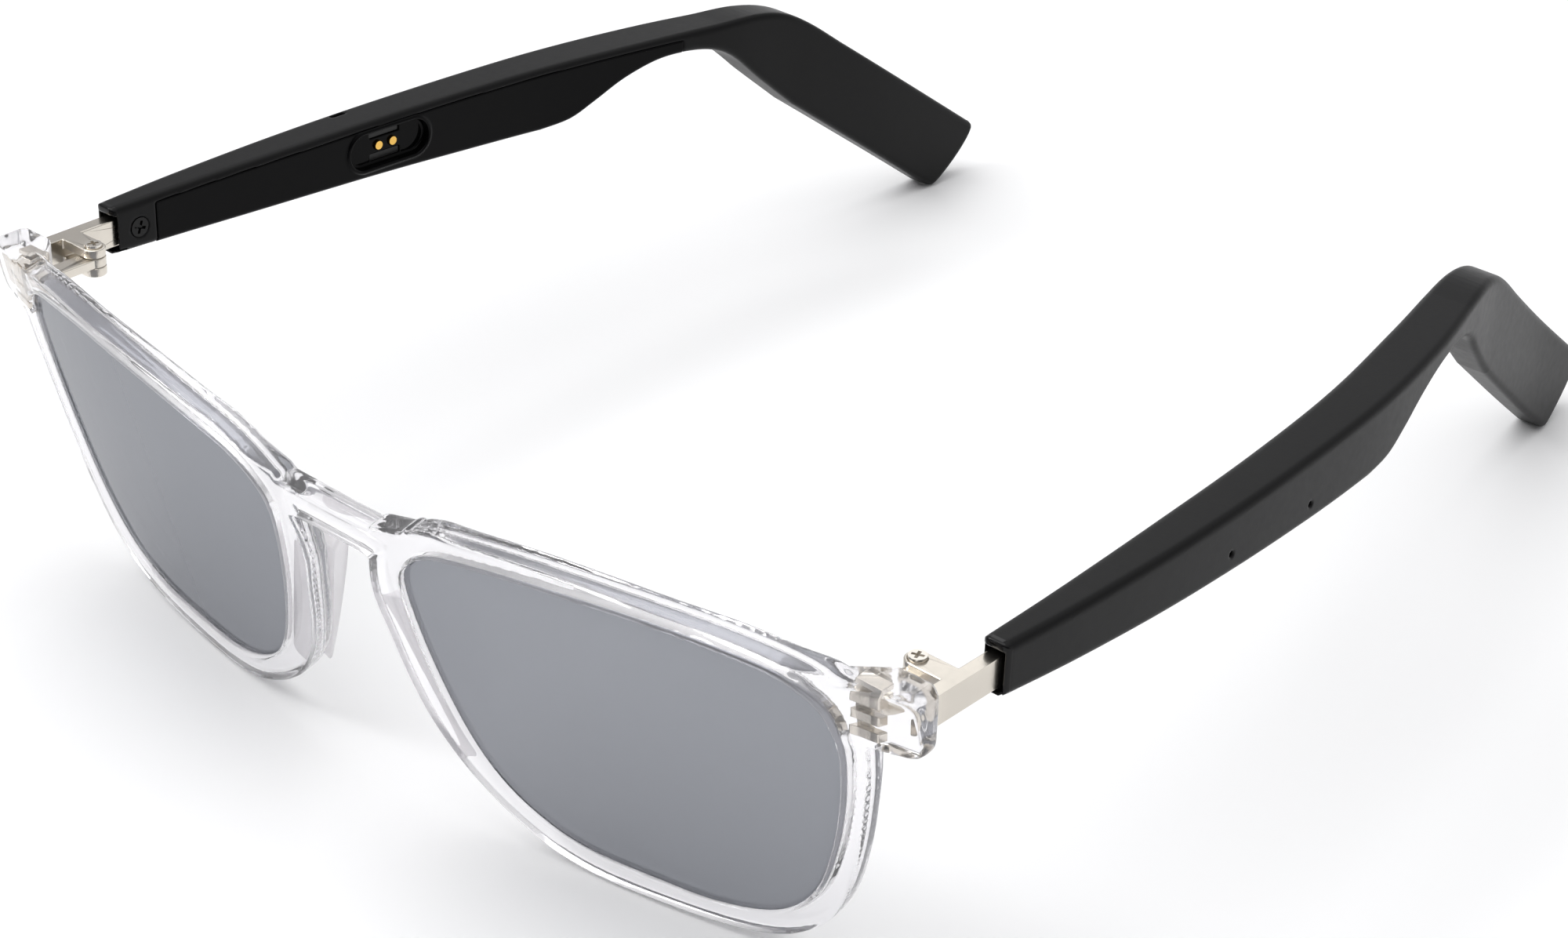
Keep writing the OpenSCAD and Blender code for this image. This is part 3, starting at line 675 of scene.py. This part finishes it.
def cover_field(y, w, z):
    """Inner cover with the charging pocket, on a grid of y, distance from the inner face, and z."""
    gy, gz = np.meshgrid(y, z, indexing="ij")
    side = distance_2d(gy, gz, SIDE)[:, None, :]
    Y, W, Z = y[:, None, None], w[None, :, None], z[None, None, :]
    one = np.zeros((len(y), len(w), len(z)))
    edges = np.maximum.reduce([
        COVER_START + COVER_GAP - Y + one, Y - COVER_END + COVER_GAP + one,
        Z - COVER_TOP + COVER_GAP + one, side + 0.05 + one])
    f = both(edges, -W + one, W - COVER_T + COVER_GAP + one, r=COVER_EDGE)
    # bottom edge follows the rounding of the shell
    f = np.maximum(f, both(side + one, -W + one, r=COVER_RIM_EDGE))
    # raised rim, cup and hollow of the pocket
    run = np.maximum(np.abs(Y - POCKET_Y) - POCKET_HALF, 0)
    radial = np.sqrt(run ** 2 + (Z - POCKET_Z) ** 2)
    rim = both(radial - POCKET_R - 0.5 + one, -(W + 0.28) + one, W - COVER_T + one, r=0.25)
    f = joined(f, rim, 0.3)
    cup = both(radial - POCKET_R - 0.3 + one, W - POCKET_D - 0.8 + one, -W + one, r=0.1)
    f = np.minimum(f, cup)
    pocket = both(radial - POCKET_R + one, W - POCKET_D + one, r=0.3)
    f = cut(f, pocket, 0.22)
    # a well for each contact and a recess for each magnet
    for s in (-1, 1):
        well = np.sqrt((Y - POCKET_Y - s * WELL_SPACING) ** 2 + (Z - POCKET_Z) ** 2) - WELL_R
        f = cut(f, well + one, 0.04)
        along = np.abs(Y - POCKET_Y) - MAGNET_HALF
        bar = np.maximum(along, np.abs(Z - POCKET_Z - s * MAGNET_Z) - MAGNET_HEIGHT)
        f = cut(f, bar + one, 0.05)
    # room for the arm
    arm = np.maximum(Y - ARM_END + one, (ARM_IN - 0.02) - (W + inner_u(y)[:, None, None]))
    arm = np.maximum(arm, np.abs(Z + ARM_H / 2) - ARM_H / 2 - 0.02)
    return cut(f, arm, 0.04)


def make_covers():
    """Glossy inner covers."""
    y = axis(COVER_START - 0.4, COVER_END + 0.5, COVER_STEP)
    w = axis(-0.9, 2.6, COVER_STEP)
    z = axis(-7.8, 1.3, COVER_STEP)
    p, quads = surface(cover_field(y, w, z), (y[0], w[0], z[0]), COVER_STEP)
    for name, sign in (("left", 1), ("right", -1)):
        u = p[:, 1] + inner_u(p[:, 0])
        pts = np.stack([sign * (HINGE_X + u), p[:, 0], p[:, 2]], axis=1)
        add_mesh(f"gloss_cover_{name}", pts, quads, MATERIALS["gloss_black"], f"{name}_temple",
                 [f"inner_cover_{name}"])


make_front()
make_pads()
make_lenses()
make_shells()
make_covers()


# ---------------------------------------------------------------- CAD nodes
# Width of the bevel on the nodes whose names start so, in millimetres.
BEVELS = {
    "front_hinge": 0.12, "temple_arm": 0.16, "hinge_screw": 0.05, "arm_screw": 0.06,
    "charging_contact": 0.08, "charging_magnet": 0.05, "battery": 0.3, "speaker_": 0.2,
    "circuit_board": 0.04, "microphone": 0.08, "antenna": 0.04, "touch_sensor": 0.03,
}
for node_name, node in frame["nodes"].items():
    if node.data is None:
        continue
    material = MATERIALS[SLOT_OF[node_name]]
    if not node.material_slots:
        node.data.materials.append(material)
    for slot in node.material_slots:
        slot.material = material
    width = next((w for key, w in BEVELS.items() if node_name.startswith(key)), None)
    if width:
        weld = node.modifiers.new("weld", "WELD")
        weld.merge_threshold = 0.000002
        bevel = node.modifiers.new("bevel", "BEVEL")
        bevel.width = width * 0.001
        bevel.segments = 3
        bevel.limit_method = "ANGLE"
        bevel.angle_limit = math.radians(40)
        bevel.harden_normals = False
        bevel.use_clamp_overlap = True

# ----------------------------------------------------------- floor and light
FLOOR_SIZE = 6.0
HORIZON = (0.86, 0.86, 0.87)
MID_SKY = (0.42, 0.42, 0.43)
ZENITH = (1.1, 1.1, 1.1)
BACKDROP = (0.97, 0.97, 0.97)
ROOM_SIDE = (0.64, -0.77, 0.0)
ROOM_EDGE, ROOM_TOP, ROOM_SHADE = (0.2, 0.8), (0.25, 0.7), 0.08
bpy.context.scene.view_settings.view_transform = "Standard"


def make_floor():
    """Pale floor just under the lowest point of the glasses."""
    mesh = bpy.data.meshes.new("floor")
    h = FLOOR_SIZE / 2
    mesh.from_pydata([(-h, -h, 0), (h, -h, 0), (h, h, 0), (-h, h, 0)], [], [(0, 1, 2, 3)])
    floor = bpy.data.objects.new("floor", mesh)
    floor.location.z = CAD_BOX[0][2] - 0.0001
    bpy.context.scene.collection.objects.link(floor)
    mesh.materials.append(new_material("floor", (0.93, 0.93, 0.935), 0.6, noise_scale=30, tint=0.004, bump=0))


def make_light(name, at, toward, size, power):
    """White area light of a width and height in metres and a power in watts, turned toward a point."""
    data = bpy.data.lights.new(name, "AREA")
    data.shape = "RECTANGLE"
    data.size, data.size_y = size
    data.energy = power
    light = bpy.data.objects.new(name, data)
    back = np.array(at, float) - np.array(toward, float)
    back /= np.linalg.norm(back)
    right = np.cross((0, 0, 1), back)
    right /= np.linalg.norm(right)
    up = np.cross(back, right)
    direction = Matrix([(right[i], up[i], back[i]) for i in range(3)])
    light.matrix_world = Matrix.Translation(at) @ direction.to_4x4()
    bpy.context.scene.collection.objects.link(light)


def make_world():
    """Pale studio: bright horizon and ceiling, a greyer middle, and a dark room behind the photographer."""
    world = bpy.data.worlds.new("studio")
    world.use_nodes = True
    tree = world.node_tree
    background = tree.nodes["Background"]
    background.inputs["Strength"].default_value = 1.0
    where = tree.nodes.new("ShaderNodeTexCoord")
    split = tree.nodes.new("ShaderNodeSeparateXYZ")
    tree.links.new(where.outputs["Generated"], split.inputs["Vector"])
    ramp = tree.nodes.new("ShaderNodeValToRGB")
    ramp.color_ramp.elements[0].position = 0.0
    ramp.color_ramp.elements[0].color = HORIZON + (1,)
    ramp.color_ramp.elements[1].position = 0.95
    ramp.color_ramp.elements[1].color = ZENITH + (1,)
    middle = ramp.color_ramp.elements.new(0.55)
    middle.color = MID_SKY + (1,)
    tree.links.new(split.outputs["Z"], ramp.inputs["Fac"])
    along = tree.nodes.new("ShaderNodeVectorMath")
    along.operation = "DOT_PRODUCT"
    along.inputs[1].default_value = ROOM_SIDE
    tree.links.new(where.outputs["Generated"], along.inputs[0])
    side = smooth_range(tree, along.outputs["Value"], ROOM_EDGE, (0, 1))
    low = smooth_range(tree, split.outputs["Z"], ROOM_TOP, (1, 0))
    both_ways = tree.nodes.new("ShaderNodeMath")
    both_ways.operation = "MULTIPLY"
    tree.links.new(side, both_ways.inputs[0])
    tree.links.new(low, both_ways.inputs[1])
    dim = smooth_range(tree, both_ways.outputs["Value"], (0, 1), (1, ROOM_SHADE))
    shaded = tree.nodes.new("ShaderNodeVectorMath")
    shaded.operation = "SCALE"
    tree.links.new(ramp.outputs["Color"], shaded.inputs[0])
    tree.links.new(dim, shaded.inputs["Scale"])
    seen = tree.nodes.new("ShaderNodeLightPath")
    backdrop = tree.nodes.new("ShaderNodeMix")
    backdrop.data_type = "RGBA"
    colours = rgba(backdrop.inputs)
    colours[1].default_value = BACKDROP + (1,)
    tree.links.new(seen.outputs["Is Camera Ray"], backdrop.inputs[0])
    tree.links.new(shaded.outputs["Vector"], colours[0])
    tree.links.new(rgba(backdrop.outputs)[0], background.inputs["Color"])
    bpy.context.scene.world = world


def rgba(sockets):
    """The colour sockets among the given ones."""
    return [socket for socket in sockets if socket.type == "RGBA"]


def smooth_range(tree, socket, source, target):
    """Socket mapped smoothly from the source range to the target range."""
    node = tree.nodes.new("ShaderNodeMapRange")
    node.interpolation_type = "SMOOTHSTEP"
    node.inputs["From Min"].default_value, node.inputs["From Max"].default_value = source
    node.inputs["To Min"].default_value, node.inputs["To Max"].default_value = target
    tree.links.new(socket, node.inputs["Value"])
    return node.outputs["Result"]


make_floor()
make_world()
make_light("overhead", (-0.5, -0.3, 2.2), (0, 0, 0), (2.4, 2.4), 27)
make_light("strip", (-0.9, 1.2, 1.0), (0, 0, 0.02), (0.25, 1.2), 1.0)
make_light("sparkle", (-0.7, -0.65, 0.85), (0, 0, 0.02), (0.25, 0.25), 2.6)
